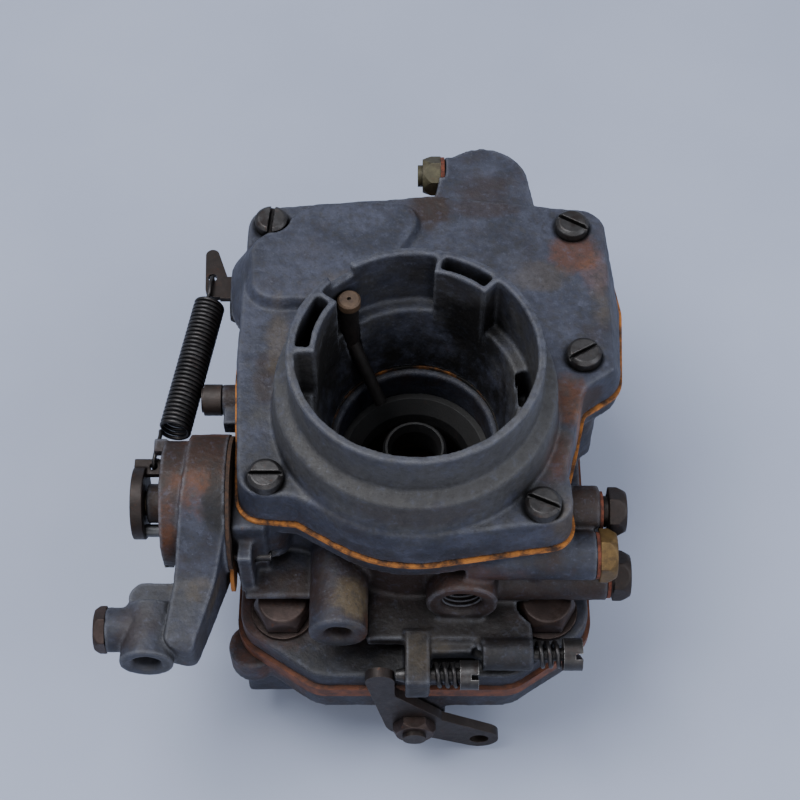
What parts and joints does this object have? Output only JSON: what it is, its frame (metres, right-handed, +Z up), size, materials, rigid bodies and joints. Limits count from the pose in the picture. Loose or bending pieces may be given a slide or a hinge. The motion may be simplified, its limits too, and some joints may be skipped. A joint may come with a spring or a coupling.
{
  "type": "carburetor",
  "caption": "Single-barrel downdraught carburetor with float bowl, hinged throttle, sprung rotary starter device with cable clamp, accelerating pump and adjusting screws.",
  "frame": {"origin": "centre of the bottom face of the throttle flange, on the axis of the air passage", "axes": "+Z up the air passage towards the air horn, +X to the right seen from the front, -Y towards the side with the throttle lever"},
  "size_m": [0.1299, 0.1428, 0.11],
  "materials": {
    "cast_alloy": "weathered light-alloy casting, matt",
    "cast_lower": "weathered light-alloy casting, stained, matt",
    "gasket_orange": "fibre gasket with rust stain",
    "insulator": "moulded phenolic, matt",
    "screw_steel": "worn zinc plate",
    "bolt_rust": "rusted steel",
    "dark_steel": "blackened steel",
    "spring_steel": "dark oiled spring wire",
    "brass": "dull brass",
    "aluminium": "machined",
    "fibre": "red fibre",
    "float_plastic": "hollow moulded plastic",
    "rubber": "fabric-backed rubber"
  },
  "bodies": {
    "carburetor": {"bowl_cover": "cast_alloy", "cover_gasket": "gasket_orange", "cover_screws": "screw_steel", "main_body": "cast_alloy", "throttle_body": "cast_lower", "flange_insulator": "insulator", "flange_bolts": "bolt_rust", "flange_washers": "bolt_rust", "main_venturi": "aluminium", "boost_venturi": "aluminium", "pump_jet_tube": "brass", "pump_jet_cap": "brass", "emulsion_tube": "brass", "air_jet": "brass", "upper_plug": "dark_steel", "jet_carrier": "brass", "lower_plug": "dark_steel", "plug_washers": "fibre", "main_jet": "brass", "inlet_union": "brass", "inlet_washer": "fibre", "inlet_filter": "brass", "needle_seat": "brass", "float_pin": "dark_steel", "starter_gasket": "gasket_orange", "starter_bracket": "cast_alloy", "starter_screws": "screw_steel", "cable_pinch_screw": "bolt_rust", "return_spring": "spring_steel", "spring_anchor": "dark_steel", "anchor_screw": "screw_steel", "side_plug": "screw_steel", "throttle_stop_screw": "screw_steel", "stop_screw_spring": "spring_steel", "mixture_screw": "screw_steel", "mixture_screw_spring": "spring_steel", "pump_diaphragm": "rubber", "pump_cover": "cast_lower", "pump_screws": "screw_steel"},
    "throttle": {"throttle_shaft": "dark_steel", "throttle_plate": "brass", "plate_screws": "screw_steel", "throttle_lever": "dark_steel", "lever_nut": "bolt_rust", "pump_arm": "dark_steel"},
    "starter": {"starter_shaft": "brass", "starter_valve_disc": "brass", "starter_lever": "dark_steel", "cable_stud": "dark_steel"},
    "float": {"float": "float_plastic"},
    "needle": {"float_needle": "brass"},
    "pump_lever": {"pump_lever": "dark_steel", "pump_finger": "dark_steel", "pump_lever_pin": "dark_steel"},
    "pump_link": {"pump_link": "dark_steel"},
    "pump_plunger": {"pump_plunger": "dark_steel"}
  },
  "joints": [
    {"name": "throttle_turn", "type": "hinge", "parent": "carburetor", "child": "throttle", "pos_m": [0, 0, 0.018], "axis": [0, -1, 0], "range_deg": [0, 78], "stiffness_Nm_per_rad": 0.15, "springref_deg": -20.05},
    {"name": "starter_turn", "type": "hinge", "parent": "carburetor", "child": "starter", "pos_m": [-0.06, -0.0135, 0.063], "axis": [1, 0, 0], "range_deg": [0, 55], "stiffness_Nm_per_rad": 0.05, "springref_deg": -28.65, "deforming": ["return_spring"]},
    {"name": "float_swing", "type": "hinge", "parent": "carburetor", "child": "float", "pos_m": [0.026, 0.052, 0.067], "axis": [0, 1, 0], "range_deg": [0, 8]},
    {"name": "needle_slide", "type": "slide", "parent": "carburetor", "child": "needle", "axis": [0, 0, 1], "range_m": [0, 0.0012]},
    {"name": "pump_lever_turn", "type": "hinge", "parent": "carburetor", "child": "pump_lever", "pos_m": [0.046, 0.052, 0.035], "axis": [0, 1, 0], "range_deg": [0, 28.3]},
    {"name": "pump_link_turn", "type": "hinge", "parent": "throttle", "child": "pump_link", "pos_m": [0.0034, 0.0425, 0.0222], "axis": [0, -1, 0], "range_deg": [-78, 0]},
    {"name": "pump_plunger_slide", "type": "slide", "parent": "carburetor", "child": "pump_plunger", "axis": [-1, 0, 0], "range_m": [0, 0.0039]}
  ],
  "couplings": [
    {"joint": "needle_slide", "follows": "float_swing", "m_per_rad": 0.0082},
    {"joint": "pump_lever_turn", "follows": "throttle_turn", "ratio": 0.3603},
    {"joint": "pump_link_turn", "follows": "throttle_turn", "ratio": -1},
    {"joint": "pump_plunger_slide", "follows": "throttle_turn", "m_per_rad": 0.002853}
  ]
}
